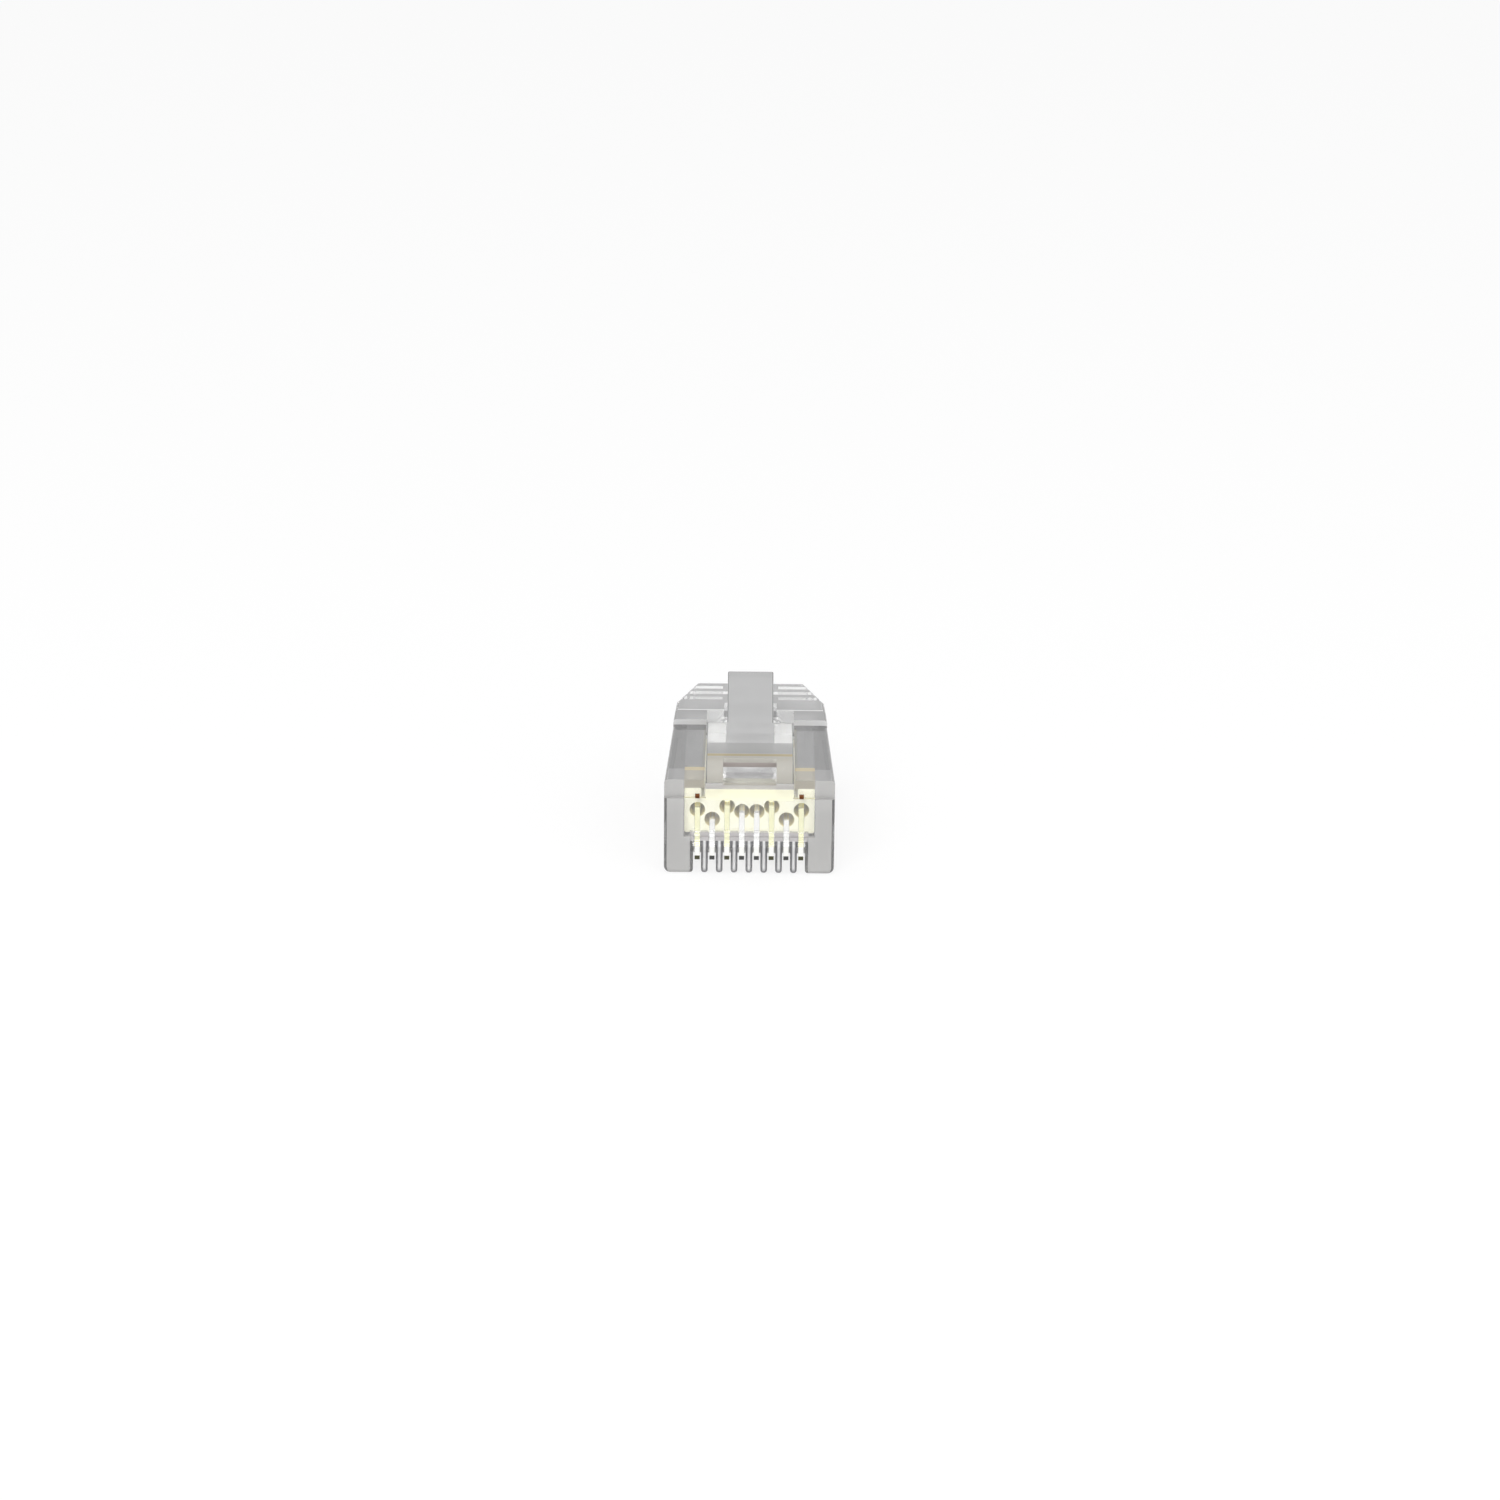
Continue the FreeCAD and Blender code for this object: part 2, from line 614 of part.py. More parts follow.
def relief_gaps(body):
    """Gaps between the ribs: outer ones leave spines above and below, the middle one side webs."""
    for number in range(RIB_COUNT):
        start = f"({BLOCK_END} + {number} * {RIB_PITCH})"
        end = f"({start} + rib_gap)"
        if number % 2:
            middle = "collar_height / 2"
            for name, low, high in (
                ("above", f"{middle} + web_height / 2", "collar_height + 1"),
                ("below", "-1", f"{middle} - web_height / 2"),
            ):
                gap = rectangle(body, f"gap_{number}_{name}", "YZ_Plane", (start, low), (end, high))
                pocket(body, gap, REACH, both_ways=True)
        else:
            gap = rectangle(
                body, f"gap_{number}", "YZ_Plane", (start, "-1"), (end, "collar_height + 1"),
                "spine_width / 2",
            )
            mirror(body, pocket(body, gap, REACH, backwards=True))


def relief_arms(body):
    """Two arms that stand in the housing beside the cable, each with a hook."""
    start = "(housing_length - arm_length)"
    arm = rectangle(
        body, "arm", "YZ_Plane", (start, "arm_bottom"), ("housing_length + 0.5", "arm_top"),
        f"{ARM_OUTSIDE} - arm_thickness",
    )
    mirror(body, pad(body, arm, "arm_thickness"))
    hook_end = "(housing_length - hook_setback)"
    hook = [
        (f"{ARM_OUTSIDE} - 0.1", f"{hook_end} - hook_length"),
        (f"{ARM_OUTSIDE}", f"{hook_end} - hook_length"),
        (f"{ARM_OUTSIDE} + hook_reach", f"{hook_end} - hook_length / 3"),
        (f"{ARM_OUTSIDE} + hook_reach", hook_end),
        (f"{ARM_OUTSIDE} - 0.1", hook_end),
    ]
    sketch = outline(
        body, "hook", "XY_Plane", hook, "(arm_bottom + arm_top) / 2 - hook_height / 2"
    )
    mirror(body, pad(body, sketch, "hook_height"))


def make_strain_relief():
    body = new_body("strain_relief")
    relief_block(body)
    relief_arms(body)
    bore = circle(body, "cable_bore", "XZ_Plane", ("0", "cable_height"), "cable_radius")
    pocket(body, bore, 2 * REACH, both_ways=True)
    wider = circle(
        body, "rib_bore", "XZ_Plane", ("0", "cable_height"), "rib_bore_radius", f"-{BLOCK_END}"
    )
    pocket(body, wider, REACH)
    relief_gaps(body)
    groove = rectangle(
        body, "handle_groove", "YZ_Plane", ("housing_length - 1", "handle_groove_floor"),
        ("housing_length + handle_groove_length", "collar_height + 1"),
    )
    pocket(body, groove, "handle_width + 2 * handle_clearance", both_ways=True)
    return body


def check_document(parts):
    """Stop if any object failed or any piece isn't one sound solid."""
    for item in DOCUMENT.Objects:
        if "Invalid" in item.State or "Error" in item.State:
            raise RuntimeError(f"{item.Label} failed: {item.State}")
    for part in parts:
        shape = part.Shape
        if shape.isNull() or not shape.isValid() or len(shape.Solids) != 1:
            raise RuntimeError(f"{part.Label} isn't one valid solid")


def main():
    fill_sheet()
    parts = [make_housing(), make_latch(), make_load_bar(), make_strain_relief()]
    parts += [make_contact(number) for number in range(1, len(BAR_HEIGHTS) + 1)]
    DOCUMENT.recompute()
    check_document(parts)
    os.makedirs("parts", exist_ok=True)
    for part in parts:
        part.Shape.exportStep(f"parts/{part.Label}.step")
        box = part.Shape.BoundBox
        print(f"{part.Label}: volume {part.Shape.Volume:.2f}, z {box.ZMin:.2f} to {box.ZMax:.2f},"
              f" y {box.YMin:.2f} to {box.YMax:.2f}")


main()
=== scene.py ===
import math

import bpy
from mathutils import Matrix, Vector


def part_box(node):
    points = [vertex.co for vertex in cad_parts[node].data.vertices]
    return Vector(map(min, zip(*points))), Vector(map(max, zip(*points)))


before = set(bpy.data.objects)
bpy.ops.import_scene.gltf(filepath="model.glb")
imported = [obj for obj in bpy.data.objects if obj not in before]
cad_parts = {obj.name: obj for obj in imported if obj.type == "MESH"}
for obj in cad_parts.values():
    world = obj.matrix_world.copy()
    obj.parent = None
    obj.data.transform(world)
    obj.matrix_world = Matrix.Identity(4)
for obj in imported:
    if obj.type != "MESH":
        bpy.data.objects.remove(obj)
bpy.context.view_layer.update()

MM = 0.001

# The photograph's view: the nose from slightly above, through a long lens.
VIEW_ELEVATION = math.radians(19.0)
VIEW_DISTANCE = 300 * MM
VIEW_AIM_UP = math.radians(1.62)
VIEW_ROLL = math.radians(0.57)
LENS_MM = 105.1
SENSOR_MM = 36.0

CONTACTS = [f"contact_{number}" for number in range(1, 9)]
GOLD_CONTACTS = {"contact_1", "contact_3", "contact_6", "contact_8"}
CONTACT_PITCH = 1.016
OUTER_CONTACT = 3.5 * CONTACT_PITCH

NOSE_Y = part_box("housing")[0][1] / MM

# Where the zones of the plastic, with their painted light, shade and reflections, begin or end, in mm,
# close to the faces and edges of the part.
# Heights above the underside:
SLOT_HEIGHT = 1.85
FIN_HEIGHT = 2.36
PILLAR_HEIGHT = 2.7
BAND_TOP = 2.93
LEDGE_HEIGHT = 5.38
CHANNEL_FLOOR = 5.62
BAR_TOP = 5.995
ROOT_TOP = 6.08
BODY_TOP = 6.6
SILL_TOP = 6.79
# Depths behind the nose:
ROOT_DEPTH = 0.6
SPOT_DEPTH = 0.65
FIN_DEPTH = 0.7
BAND_DEPTH = 0.8
GOLD_REFLECTION_STRIP_START = 2.55
TOP_FRONT_END = 2.9
FLOOR_FRONT_END = 2.95
OVER_BAR_END = 3.3
LEGS_END = 4.05
GOLD_REFLECTION_LINE_START = 4.1
ROOM_SIDE_END = 4.3
GOLD_REFLECTION_LINE_END = 4.4
LATCH_BAND_START = 4.45
SLOT_LENGTH = 4.5
BAND_FRONT_START = 5.5
SHOULDERS_START = 5.8
SHOULDERS_END = 8.45
SEAM = 15.7
# Distances from the middle:
HANDLE_SIDE = 1.65
LATCH_SIDE = 3.02
OUTER_FIN_SIDE = 3.45
PILLAR_SIDE = 4.05
BAR_SIDE = 4.47
SIDE_WALL = 4.5
# Half widths about the middle of a fin:
BAND_HALF_WIDTH = 0.28
FIN_HALF_WIDTH = 0.30
BRIGHT_HALF_WIDTH = 0.08

PLASTIC_IOR = 1.585
WHITE = (1.0, 1.0, 1.0)

FLOOR_HALF = 3.0
FLOOR_DROP = 0.02 * MM
FLOOR_GLOW = 1.06
FLOOR_GLOW_SHARE = 0.75
STUDIO_LIGHT = 0.65
LAMP_SIZE = 0.30


def grey(value):
    return (value, value, value)


def new_material(name):
    """A material with an empty node tree and an output."""
    material = bpy.data.materials.new(name)
    material.use_nodes = True
    tree = material.node_tree
    tree.nodes.clear()
    output = tree.nodes.new("ShaderNodeOutputMaterial")
    return material, tree, output


def noise(tree, scale, detail=3.0, stretch=(1.0, 1.0, 1.0)):
    """Noise in the object's own coordinates; scale counts features in a millimetre."""
    position = tree.nodes.new("ShaderNodeTexCoord")
    mapping = tree.nodes.new("ShaderNodeMapping")
    mapping.inputs["Scale"].default_value = [scale / MM * part for part in stretch]
    texture = tree.nodes.new("ShaderNodeTexNoise")
    texture.inputs["Scale"].default_value = 1.0
    texture.inputs["Detail"].default_value = detail
    tree.links.new(position.outputs["Object"], mapping.inputs["Vector"])
    tree.links.new(mapping.outputs["Vector"], texture.inputs["Vector"])
    return texture.outputs["Fac"]


def spread(tree, value, low, high):
    """Map the middle of a noise's range onto low to high."""
    node = tree.nodes.new("ShaderNodeMapRange")
    node.inputs["From Min"].default_value = 0.3
    node.inputs["From Max"].default_value = 0.7
    node.inputs["To Min"].default_value = low
    node.inputs["To Max"].default_value = high
    tree.links.new(value, node.inputs["Value"])
    return node.outputs["Result"]


def bump(tree, value, depth_mm, strength):
    node = tree.nodes.new("ShaderNodeBump")
    node.inputs["Distance"].default_value = depth_mm * MM
    node.inputs["Strength"].default_value = strength
    tree.links.new(value, node.inputs["Height"])
    return node.outputs["Normal"]


def tinted(tree, value, dark, light):
    """A colour between two shades, led by a noise."""
    ramp = tree.nodes.new("ShaderNodeValToRGB")
    ramp.color_ramp.elements[0].position = 0.3
    ramp.color_ramp.elements[0].color = (*dark, 1.0)
    ramp.color_ramp.elements[1].position = 0.7
    ramp.color_ramp.elements[1].color = (*light, 1.0)
    tree.links.new(value, ramp.inputs["Fac"])
    return ramp.outputs["Color"]


def scaled(tree, vector, scale):
    """A vector or colour times a number, or times a node's value."""
    node = tree.nodes.new("ShaderNodeVectorMath")
    node.operation = "SCALE"
    tree.links.new(vector, node.inputs[0])
    if isinstance(scale, (int, float)):
        node.inputs["Scale"].default_value = scale
    else:
        tree.links.new(scale, node.inputs["Scale"])
    return node.outputs["Vector"]


def split(tree, vector):
    node = tree.nodes.new("ShaderNodeSeparateXYZ")
    tree.links.new(vector, node.inputs["Vector"])
    return node.outputs["X"], node.outputs["Y"], node.outputs["Z"]


def arithmetic(tree, operation, first, second=None):
    """A Math node; either operand may be a number."""
    node = tree.nodes.new("ShaderNodeMath")
    node.operation = operation
    for socket, operand in zip(node.inputs, (first, second)):
        if isinstance(operand, (int, float)):
            socket.default_value = operand
        elif operand is not None:
            tree.links.new(operand, socket)
    return node.outputs["Value"]


def between(tree, factor, low, high):
    """A number that goes from low to high with the factor; either may be a node's value."""
    node = tree.nodes.new("ShaderNodeMix")
    node.data_type = "FLOAT"
    tree.links.new(factor, node.inputs["Factor"])
    for name, operand in (("A", low), ("B", high)):
        socket = next(item for item in node.inputs if item.name == name and item.type == "VALUE")
        if isinstance(operand, (int, float)):
            socket.default_value = operand
        else:
            tree.links.new(operand, socket)
    return next(item for item in node.outputs if item.type == "VALUE")


def shade_of(tree, colour):
    """A plain colour as a node's output."""
    node = tree.nodes.new("ShaderNodeRGB")
    node.outputs["Color"].default_value = (*colour, 1.0)
    return node.outputs["Color"]


def blend_colours(tree, factor, first, second):
    node = tree.nodes.new("ShaderNodeMix")
    node.data_type = "RGBA"
    colours = [item for item in node.inputs if item.type == "RGBA"]
    tree.links.new(factor, node.inputs["Factor"])
    tree.links.new(first, colours[0])
    tree.links.new(second, colours[1])
    return next(item for item in node.outputs if item.type == "RGBA")


def layered(tree, clearness, colour, zones):
    """Clearness and colour, changed in each zone in turn. A zone is a mask, a clearness and a
    colour."""
    amount = clearness
    base = shade_of(tree, colour)
    for zone, zone_clearness, zone_colour in zones:
        amount = between(tree, zone, amount, zone_clearness)
        base = blend_colours(tree, zone, base, shade_of(tree, zone_colour))
    return amount, base


class Surface:
    """Masks from 0 to 1 by where a surface point lies on the plug, in mm, and how it faces."""

    def __init__(self, tree):
        self.tree = tree
        position = tree.nodes.new("ShaderNodeTexCoord")
        self.x, y, self.height = split(tree, scaled(tree, position.outputs["Object"], 1.0 / MM))
        self.across = arithmetic(tree, "ABSOLUTE", self.x)
        self.back = arithmetic(tree, "SUBTRACT", y, NOSE_Y)
        facing_x, self.facing_y, self.facing_z = split(tree, position.outputs["Normal"])
        self.facing_side = arithmetic(tree, "ABSOLUTE", facing_x)

    def above(self, value, limit, soft=0.05):
        """1 where the value is over the limit, with a smooth rise across it."""
        node = self.tree.nodes.new("ShaderNodeMapRange")
        node.interpolation_type = "SMOOTHSTEP"
        node.inputs["From Min"].default_value = limit - soft
        node.inputs["From Max"].default_value = limit + soft
        self.tree.links.new(value, node.inputs["Value"])
        return node.outputs["Result"]

    def below(self, value, limit, soft=0.05):
        return self.above(value, limit, -soft)

    def inside(self, value, start, end, soft=0.05):
        return self.overlap(self.above(value, start, soft), self.below(value, end, soft))

    def near(self, value, middle, reach, soft=0.05):
        return self.inside(value, middle - reach, middle + reach, soft)

    def overlap(self, *masks):
        """1 where all the masks are 1."""
        product = masks[0]
        for mask in masks[1:]:
            product = arithmetic(self.tree, "MULTIPLY", product, mask)
        return product

    def forward(self):
        return self.below(self.facing_y, -0.75, 0.15)

    def upward(self):
        return self.above(self.facing_z, 0.75, 0.15)

    def downward(self):
        return self.below(self.facing_z, -0.75, 0.15)

    def sideways(self):
        return self.above(self.facing_side, 0.8, 0.1)

    def edge_rounds(self, outside):
        """The rounded edges between the sides and the faces in front of or above them."""
        return self.overlap(self.inside(self.facing_side, 0.35, 0.93), self.above(self.across, outside))

    def beside_latch(self):
        """From the side of the latch to the side of the load bar's room."""
        return self.inside(self.across, LATCH_SIDE, BAR_SIDE, 0.02)


def wall_zones(surface):
    """The thick side walls and the pillars beside the comb are milky and painted a mid grey for the
    shade that clear plastic shows; the pillars' inner faces are painted light against the shade on them.
    """
    low = surface.below(surface.height, PILLAR_HEIGHT)
    pillar = surface.overlap(low, surface.above(surface.across, PILLAR_SIDE, 0.03))
    wall = surface.above(surface.across, SIDE_WALL, 0.1)
    painted_light_inner_faces = surface.overlap(
        low, surface.sideways(), surface.near(surface.across, PILLAR_SIDE + 0.05, 0.2)
    )
    return (
        # painted grey shade on the walls and pillars
        (arithmetic(surface.tree, "MAXIMUM", wall, pillar), 0.32, (0.59, 0.585, 0.575)),
        # painted light on the pillars' shaded inner faces
        (painted_light_inner_faces, 0.50, grey(0.95)),
    )


def comb_zones(surface):
    """Painted light and shade on the comb: a band painted grey, fins painted dark at their edges with a
    painted highlight down their middles, and the slots' shaded ends and roofs painted white.
    """
    from_fin = arithmetic(surface.tree, "PINGPONG", surface.x, CONTACT_PITCH / 2)
    band = surface.overlap(
        surface.inside(surface.height, FIN_HEIGHT, BAND_TOP, 0.02),
        surface.below(from_fin, BAND_HALF_WIDTH, 0.02),
        surface.below(surface.across, PILLAR_SIDE),
        surface.below(surface.back, BAND_DEPTH, 0.1),
    )
    fin = surface.overlap(
        surface.below(surface.height, FIN_HEIGHT, 0.01),
        surface.below(from_fin, FIN_HALF_WIDTH, 0.02),
        surface.below(surface.across, OUTER_FIN_SIDE),
        surface.below(surface.back, FIN_DEPTH, 0.2),
    )
    fin_painted_highlight = surface.overlap(
        fin, surface.below(from_fin, BRIGHT_HALF_WIDTH), surface.above(surface.height, 0.3, 0.2)
    )
    slot_end = surface.overlap(
        surface.forward(),
        surface.near(surface.back, SLOT_LENGTH, 0.2),
        surface.below(surface.height, SLOT_HEIGHT + 0.1),
    )
    slot_roof = surface.overlap(surface.downward(), surface.near(surface.height, SLOT_HEIGHT, 0.15))
    return (
        # painted grey shade on the band
        (band, 0.35, (0.47, 0.45, 0.45)),
        # painted dark edges on the fins, where their rounded fronts bend the light
        (fin, 0.35, (0.20, 0.20, 0.21)),
        # painted highlight down each fin's middle
        (fin_painted_highlight, 0.50, WHITE),
        # painted light in the shaded ends of the slots
        (slot_end, 0.30, WHITE),
        # painted light on the slots' roofs
        (slot_roof, 0.30, (0.97, 0.97, 0.96)),
    )


def bar_zones(surface):
    """What stands before and over the load bar carries painted reflections of its cream, in light and
    shade, with a painted dark reflection square over each outer contact."""
    room_side = surface.overlap(
        surface.sideways(),
        surface.near(surface.across, BAR_SIDE, 0.05),
        surface.below(surface.back, ROOM_SIDE_END, 0.1),
    )
    front_over_bar = surface.overlap(
        surface.forward(), surface.beside_latch(), surface.above(surface.height, BAR_TOP, 0.025)
    )
    ledge = surface.overlap(
        surface.upward(), surface.near(surface.height, LEDGE_HEIGHT, 0.08), surface.beside_latch()
    )
    painted_dark_reflection_squares = surface.overlap(
        surface.near(surface.across, OUTER_CONTACT, 0.16, 0.01),
        surface.inside(surface.height, LEDGE_HEIGHT - 0.02, LEDGE_HEIGHT + 0.22, 0.01),
        surface.below(surface.back, SPOT_DEPTH),
    )
    return (
        # painted reflections of the load bar's cream, in shade and in light
        (room_side, 0.40, (0.40, 0.33, 0.20)),
        (front_over_bar, 0.35, (0.50, 0.47, 0.40)),
        (ledge, 0.35, (1.0, 0.95, 0.62)),
        # painted dark reflection squares over the outer contacts
        (painted_dark_reflection_squares, 0.05, (0.17, 0.05, 0.01)),
    )


def top_zones(surface):
    """The upper faces painted dark grey for shade and lighter towards the front, a painted reflection of
    the load bar over it with a painted gold reflection strip, and the raised band behind painted grey
    with its front face painted light.
    """
    top = surface.overlap(surface.upward(), surface.near(surface.height, BODY_TOP, 0.2))
    top_beside_latch = surface.overlap(top, surface.beside_latch())
    over_bar = surface.overlap(top_beside_latch, surface.below(surface.back, OVER_BAR_END))
    painted_gold_reflection_strip = surface.overlap(
        top_beside_latch, surface.inside(surface.back, GOLD_REFLECTION_STRIP_START, OVER_BAR_END)
    )
    raised_band = surface.above(surface.height, BODY_TOP + 0.05, 0.03)
    band_front = surface.overlap(
        surface.forward(),
        surface.above(surface.height, BODY_TOP, 0.01),
        surface.above(surface.back, BAND_FRONT_START, 0.5),
    )
    return (
        # painted grey shade on the upper faces, lighter towards the front
        (top, 0.40, grey(0.22)),
        (surface.overlap(top, surface.below(surface.back, TOP_FRONT_END)), 0.40, grey(0.38)),
        # painted reflection of the load bar seen through the top
        (over_bar, 0.30, (0.35, 0.325, 0.27)),
        # painted gold reflection strip
        (painted_gold_reflection_strip, 0.25, (0.51, 0.42, 0.23)),
        # painted grey shade on the raised band
        (raised_band, 0.34, grey(0.40)),
        # painted light on the raised band's front face
        (band_front, 0.3, grey(0.96)),
    )


def channel_zones(surface):
    """The latch channel's floor, painted a beige grey and painted light further back where the latch
    shades it, and the latch's root, painted grey on top with a painted reflection of the bar's cream in
    its front.
    """
    floor = surface.overlap(
        surface.upward(),
        surface.near(surface.height, CHANNEL_FLOOR, 0.125),
        surface.below(surface.across, 3.075, 0.075),
    )
    root = surface.overlap(
        surface.below(surface.across, LATCH_SIDE + 0.02, 0.02),
        surface.below(surface.back, ROOT_DEPTH, 0.1),
    )
    root_front = surface.overlap(
        root, surface.forward(), surface.inside(surface.height, LEDGE_HEIGHT - 0.13, ROOT_TOP, 0.02)
    )
    floor_behind = surface.overlap(floor, surface.above(surface.back, FLOOR_FRONT_END, 0.25))
    return (
        # painted beige-grey shade on the channel floor
        (floor, 0.45, (0.72, 0.69, 0.64)),
        # painted light against the latch's shadow on the floor further back
        (floor_behind, 0.75, (0.97, 0.96, 0.97)),
        # painted grey on the root's top
        (surface.overlap(root, surface.above(surface.height, ROOT_TOP, 0.02)), 0.30, (0.60, 0.58, 0.56)),
        # painted reflection of the bar's cream on the root's front
        (root_front, 0.30, (1.0, 0.98, 0.74)),
    )


def housing_zones(surface):
    return (
        *wall_zones(surface),
        *comb_zones(surface),
        *bar_zones(surface),
        *top_zones(surface),
        # painted dark outlines on the rounded outer edges, where the rounds bend the light
        (surface.edge_rounds(5.05), 0.5, grey(0.20)),
        *channel_zones(surface),
    )


def latch_zones(surface):
    """The latch is clearer and painted light at its shoulders, with a band painted grey and a painted
    gold reflection line across before them, legs painted beige-grey, a window sill painted dark with a
    lighter front, and painted dark outlines on its rounded edges.
    """
    shoulders = surface.overlap(
        surface.above(surface.across, HANDLE_SIDE, 0.1),
        surface.inside(surface.back, SHOULDERS_START, SHOULDERS_END),
    )
    band = surface.inside(surface.back, LATCH_BAND_START, SHOULDERS_START)
    painted_gold_reflection_line = surface.inside(surface.back, GOLD_REFLECTION_LINE_START, GOLD_REFLECTION_LINE_END)
    legs = surface.below(surface.back, LEGS_END)
    sill = surface.overlap(surface.forward(), surface.below(surface.height, SILL_TOP, 0.03))
    return (
        # painted light on the clearer shoulders
        (shoulders, 0.78, (0.88, 0.88, 0.87)),
        # painted grey shade on the band
        (band, 0.40, (0.48, 0.48, 0.475)),
        # painted gold reflection line
        (painted_gold_reflection_line, 0.35, (0.51, 0.43, 0.25)),
        # painted beige-grey on the legs
        (legs, 0.50, (0.66, 0.64, 0.58)),
        # painted dark line on the window sill
        (surface.overlap(sill, legs), 0.2, (0.40, 0.36, 0.35)),
        # painted light on the sill's front
        (surface.overlap(sill, surface.below(surface.back, 1.2, 0.1)), 0.25, (0.62, 0.60, 0.56)),
        # painted dark outlines on the rounded edges
        (surface.edge_rounds(1.45), 0.5, grey(0.30)),
    )


def relief_zones(surface):
    """The strain relief is milky and painted grey on its upper faces for shade, with painted white light
    along the seam and painted dark outlines on its rounded edges.
    """
    upper = surface.above(surface.facing_z, 0.5, 0.2)
    return (
        # painted grey shade on the upper faces
        (upper, 0.35, grey(0.48)),
        # painted white light along the seam
        (surface.overlap(upper, surface.below(surface.back, SEAM)), 0.2, WHITE),
        # painted dark outlines on the rounded edges
        (surface.edge_rounds(3.05), 0.5, grey(0.25)),
    )


def moulded_plastic(name, clearness, colour, zones, roughness):
    """Clear moulded plastic: polished skin with faint flow marks, milkier in some zones, with painted
    light, shade and reflections in its zones.
    """
    material, tree, output = new_material(name)
    shader = tree.nodes.new("ShaderNodeBsdfPrincipled")
    shader.inputs["IOR"].default_value = PLASTIC_IOR
    amount, base = layered(tree, clearness, colour, zones(Surface(tree)))
    flow = noise(tree, 0.35, 4.0, (1.0, 0.4, 1.0))
    shade = scaled(tree, base, spread(tree, flow, 0.97, 1.0))
    tree.links.new(shade, shader.inputs["Base Color"])
    tree.links.new(amount, shader.inputs["Transmission Weight"])
    grain = noise(tree, 2.5, 5.0)
    tree.links.new(spread(tree, grain, *roughness), shader.inputs["Roughness"])
    tree.links.new(bump(tree, flow, 0.012, 0.5), shader.inputs["Normal"])
    finish_clear(tree, shader, amount, output)
    return material


def finish_clear(tree, shader, clearness, output):
    """Let the lamps' light through a clear wall as far as it is clear."""
    path = tree.nodes.new("ShaderNodeLightPath")
    through = tree.nodes.new("ShaderNodeBsdfTransparent")
    mix = tree.nodes.new("ShaderNodeMixShader")
    share = arithmetic(tree, "MULTIPLY", path.outputs["Is Shadow Ray"], clearness)
    tree.links.new(share, mix.inputs["Fac"])
    tree.links.new(shader.outputs["BSDF"], mix.inputs[1])
    tree.links.new(through.outputs["BSDF"], mix.inputs[2])
    tree.links.new(mix.outputs["Shader"], output.inputs["Surface"])


def bore_walls(surface):
    """The walls of the wire holes, told from the bar's flat faces by the way they face."""
    facing_along = arithmetic(surface.tree, "ABSOLUTE", surface.facing_y)
    facing_up = arithmetic(surface.tree, "ABSOLUTE", surface.facing_z)
    return surface.overlap(
        surface.below(facing_along, 0.4, 0.1),
        surface.below(facing_up, 0.99, 0.005),
        surface.below(surface.facing_side, 0.99, 0.005),
    )


def milky_plastic(name, dark, light, painted_light_in_holes, roughness):
    """The load bar's translucent cream plastic, painted warmer and lighter inside the wire holes against
    their shade.
    """
    material, tree, output = new_material(name)
    shader = tree.nodes.new("ShaderNodeBsdfPrincipled")
    shader.inputs["IOR"].default_value = PLASTIC_IOR
    shader.inputs["Transmission Weight"].default_value = 0.12
    cloud = noise(tree, 0.8)
    cream = tinted(tree, cloud, dark, light)
    # painted warm light on the walls of the wire holes
    shade = blend_colours(tree, bore_walls(Surface(tree)), cream, shade_of(tree, painted_light_in_holes))
    tree.links.new(shade, shader.inputs["Base Color"])
    grain = noise(tree, 3.0, 4.0)
    tree.links.new(spread(tree, grain, *roughness), shader.inputs["Roughness"])
    tree.links.new(bump(tree, grain, 0.003, 0.4), shader.inputs["Normal"])
    tree.links.new(shader.outputs["BSDF"], output.inputs["Surface"])
    return material


def plated_metal(name, dark, light, roughness):
    """Thin plating on a stamped blade, with faint drawn lines along it. Its front has a painted
    highlight in the open slot and a painted dark reflection at its lower corner."""
    material, tree, output = new_material(name)
    shader = tree.nodes.new("ShaderNodeBsdfPrincipled")
    shader.inputs["Metallic"].default_value = 1.0
    surface = Surface(tree)
    painted_highlight_in_slot = surface.overlap(
        surface.below(surface.facing_y, -0.65, 0.15), surface.below(surface.height, 1.71, 0.03)
    )
    corner = surface.overlap(
        surface.below(surface.facing_y, -0.15), surface.below(surface.height, 0.955, 0.015)
    )
    plating = tinted(tree, noise(tree, 1.2), dark, light)
    # painted highlight on the front in the open slot
    front = blend_colours(tree, painted_highlight_in_slot, plating, shade_of(tree, (1.0, 1.0, 0.97)))
    # painted dark reflection at the lower corner
    corner_dark_reflection = shade_of(tree, [part * 0.10 for part in dark])
    tree.links.new(blend_colours(tree, corner, front, corner_dark_reflection), shader.inputs["Base Color"])
    lines = noise(tree, 1.5, 4.0, (1.0, 0.15, 12.0))
    tree.links.new(spread(tree, lines, *roughness), shader.inputs["Roughness"])
    tree.links.new(bump(tree, lines, 0.002, 0.4), shader.inputs["Normal"])
    tree.links.new(shader.outputs["BSDF"], output.inputs["Surface"])
    return material


def dress(node, material):
    """Give a CAD node its finish."""
    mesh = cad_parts[node].data
    mesh.materials.clear()
    mesh.materials.append(material)


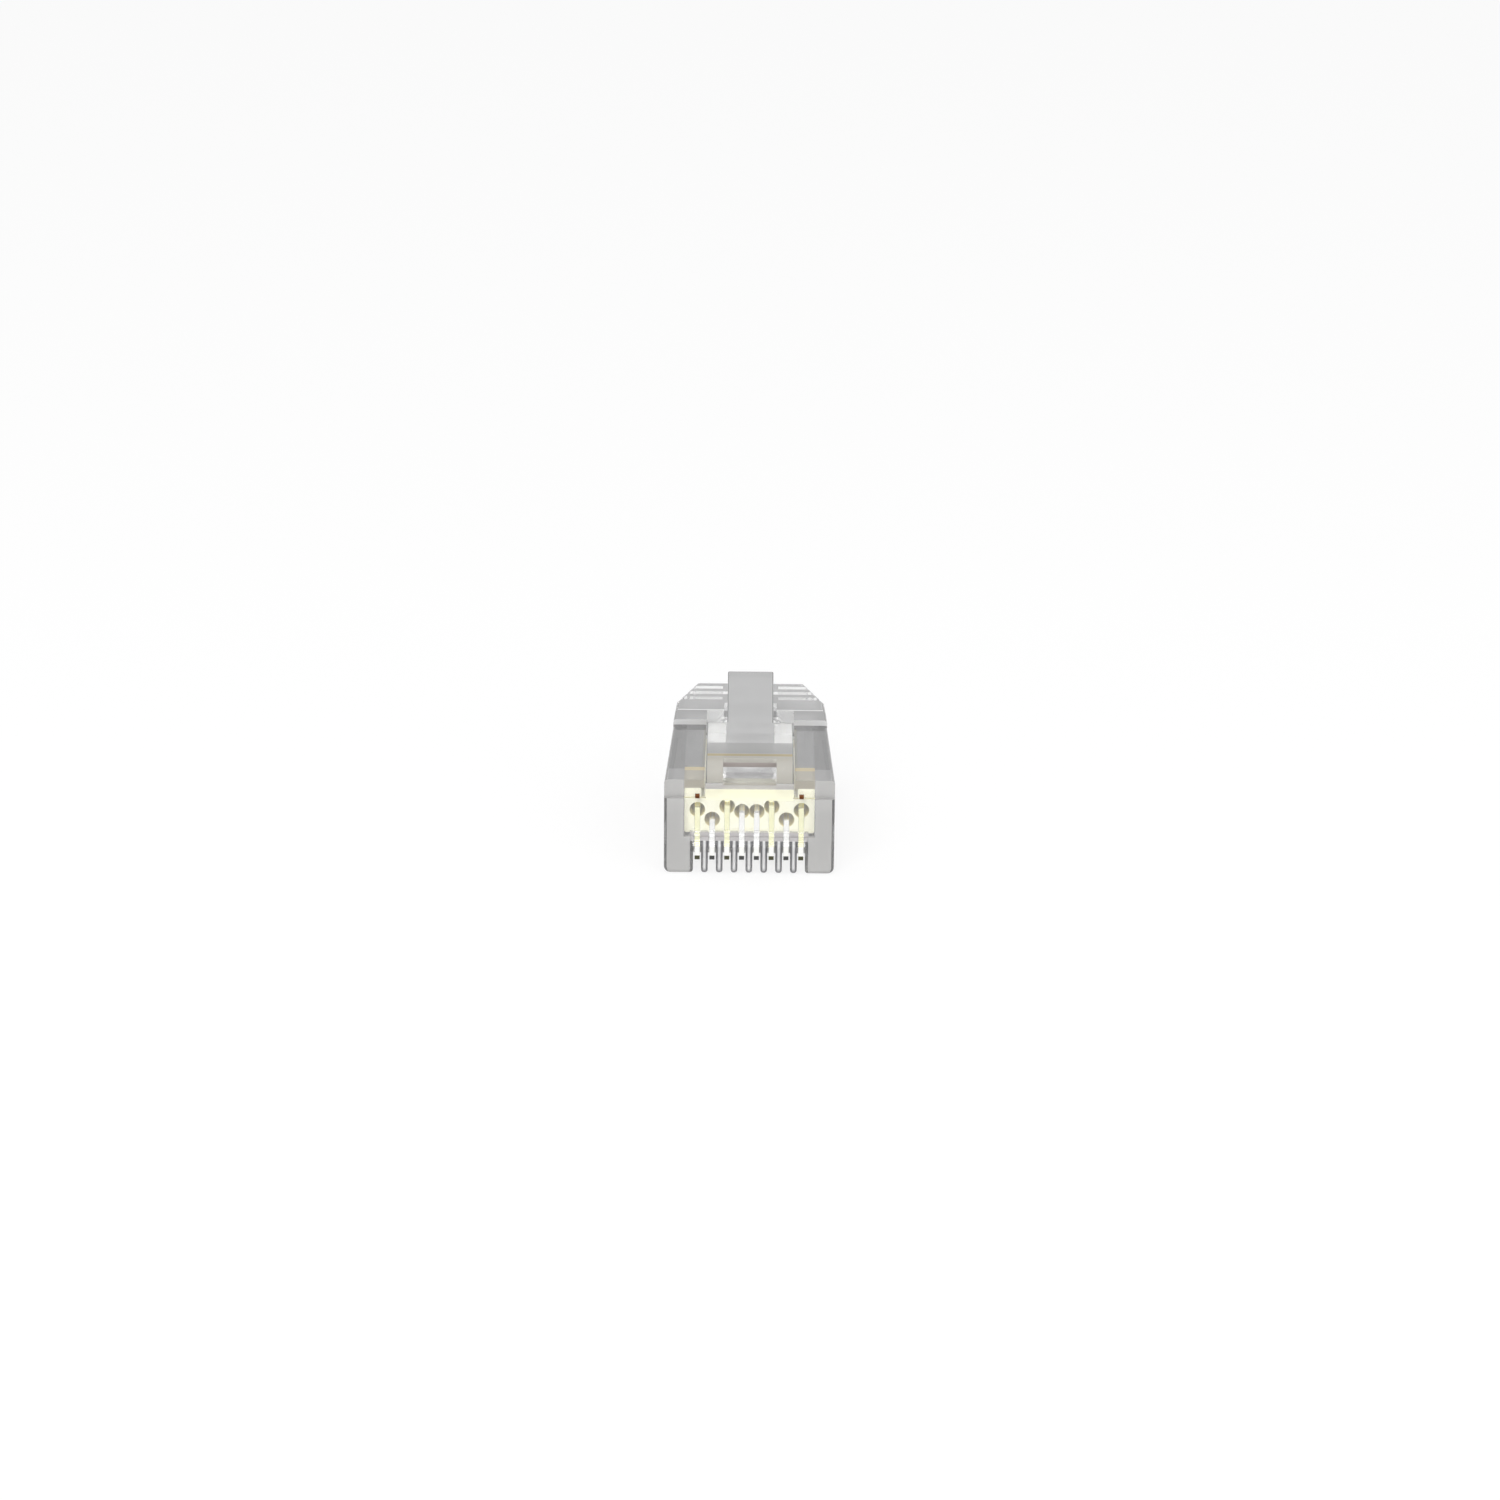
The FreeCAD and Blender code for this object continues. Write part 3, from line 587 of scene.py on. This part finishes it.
def dress_nodes():
    dress("housing", moulded_plastic("clear_plastic", 0.95, WHITE, housing_zones, (0.03, 0.07)))
    # the latch's clear plastic is painted grey for the shade it shows
    dress("latch_lever", moulded_plastic("latch_plastic", 0.40, grey(0.61), latch_zones, (0.04, 0.09)))
    dress(
        "strain_relief",
        moulded_plastic("relief_plastic", 0.85, grey(0.98), relief_zones, (0.05, 0.10)),
    )
    cream = ((0.99, 0.97, 0.74), (1.0, 0.99, 0.82))
    # the third colour is painted warm light on the walls of the wire holes
    dress("load_bar", milky_plastic("bar_plastic", *cream, (1.0, 0.90, 0.50), (0.15, 0.25)))
    gold = plated_metal("contact_gold", (1.0, 0.98, 0.62), (1.0, 1.0, 0.70), (0.10, 0.20))
    silver = plated_metal("contact_silver", (0.98, 0.98, 0.96), (1.0, 1.0, 0.99), (0.10, 0.20))
    for name in CONTACTS:
        dress(name, gold if name in GOLD_CONTACTS else silver)


def seen_directly(tree):
    """1 for rays from the camera, through the plastic or off the metal, 0 for diffuse light."""
    path = tree.nodes.new("ShaderNodeLightPath")
    either = arithmetic(
        tree, "MAXIMUM", path.outputs["Is Transmission Ray"], path.outputs["Is Glossy Ray"]
    )
    return arithmetic(tree, "MAXIMUM", path.outputs["Is Camera Ray"], either)


def make_floor():
    """A plain white floor that keeps a soft shadow."""
    mesh = bpy.data.meshes.new("floor")
    signs = ((-1, -1), (1, -1), (1, 1), (-1, 1))
    mesh.from_pydata([(x * FLOOR_HALF, y * FLOOR_HALF, 0) for x, y in signs], [], [(0, 1, 2, 3)])
    floor = bpy.data.objects.new("floor", mesh)
    bpy.context.collection.objects.link(floor)
    floor.location.z = -FLOOR_DROP
    material, tree, output = new_material("floor_white")
    paper = tree.nodes.new("ShaderNodeBsdfDiffuse")
    paper.inputs["Color"].default_value = (*grey(0.9), 1.0)
    glow = tree.nodes.new("ShaderNodeEmission")
    glow.inputs["Strength"].default_value = FLOOR_GLOW
    share = arithmetic(tree, "MULTIPLY", seen_directly(tree), FLOOR_GLOW_SHARE)
    mix = tree.nodes.new("ShaderNodeMixShader")
    tree.links.new(share, mix.inputs["Fac"])
    tree.links.new(paper.outputs["BSDF"], mix.inputs[1])
    tree.links.new(glow.outputs["Emission"], mix.inputs[2])
    tree.links.new(mix.outputs["Shader"], output.inputs["Surface"])
    mesh.materials.append(material)


def make_world():
    """An even white studio; what the camera sees of it is pure white."""
    world = bpy.data.worlds.new("studio")
    bpy.context.scene.world = world
    world.use_nodes = True
    tree = world.node_tree
    tree.nodes.clear()
    output = tree.nodes.new("ShaderNodeOutputWorld")
    background = tree.nodes.new("ShaderNodeBackground")
    background.inputs["Color"].default_value = (*WHITE, 1.0)
    level = tree.nodes.new("ShaderNodeMapRange")
    level.inputs["To Min"].default_value = STUDIO_LIGHT
    level.inputs["To Max"].default_value = 1.0
    tree.links.new(seen_directly(tree), level.inputs["Value"])
    tree.links.new(level.outputs["Result"], background.inputs["Strength"])
    tree.links.new(background.outputs["Background"], output.inputs["Surface"])


def area_light(name, place, power):
    """A soft square lamp aimed at the plug."""
    data = bpy.data.lights.new(name, "AREA")
    data.shape = "SQUARE"
    data.size = LAMP_SIZE
    data.energy = power
    lamp = bpy.data.objects.new(name, data)
    lamp.location = place
    lamp.rotation_euler = (-Vector(place)).to_track_quat("-Z", "Y").to_euler()
    bpy.context.collection.objects.link(lamp)


def make_lights():
    area_light("key", (-0.12, -0.42, 0.32), 1.2)
    area_light("fill", (0.28, -0.34, 0.22), 0.45)


def make_camera():
    data = bpy.data.cameras.new("photo_view")
    data.sensor_width = SENSOR_MM
    data.lens = LENS_MM
    data.clip_start = 0.01
    camera = bpy.data.objects.new("photo_view", data)
    target = Vector((0.0, NOSE_Y * MM, 0.0))
    away = Vector((0.0, -math.cos(VIEW_ELEVATION), math.sin(VIEW_ELEVATION)))
    place = target + away * VIEW_DISTANCE
    tilt = math.pi / 2 - (VIEW_ELEVATION - VIEW_AIM_UP)
    turn = Matrix.Rotation(tilt, 4, "X") @ Matrix.Rotation(VIEW_ROLL, 4, "Z")
    camera.matrix_world = Matrix.Translation(place) @ turn
    bpy.context.collection.objects.link(camera)
    bpy.context.scene.camera = camera


def let_light_through():
    """Enough bounces for the nested walls of clear plastic."""
    cycles = bpy.context.scene.cycles
    cycles.max_bounces = 32
    cycles.transmission_bounces = 32
    cycles.glossy_bounces = 16


bpy.context.scene.view_settings.view_transform = "Standard"
let_light_through()
dress_nodes()
make_floor()
make_world()
make_lights()
make_camera()
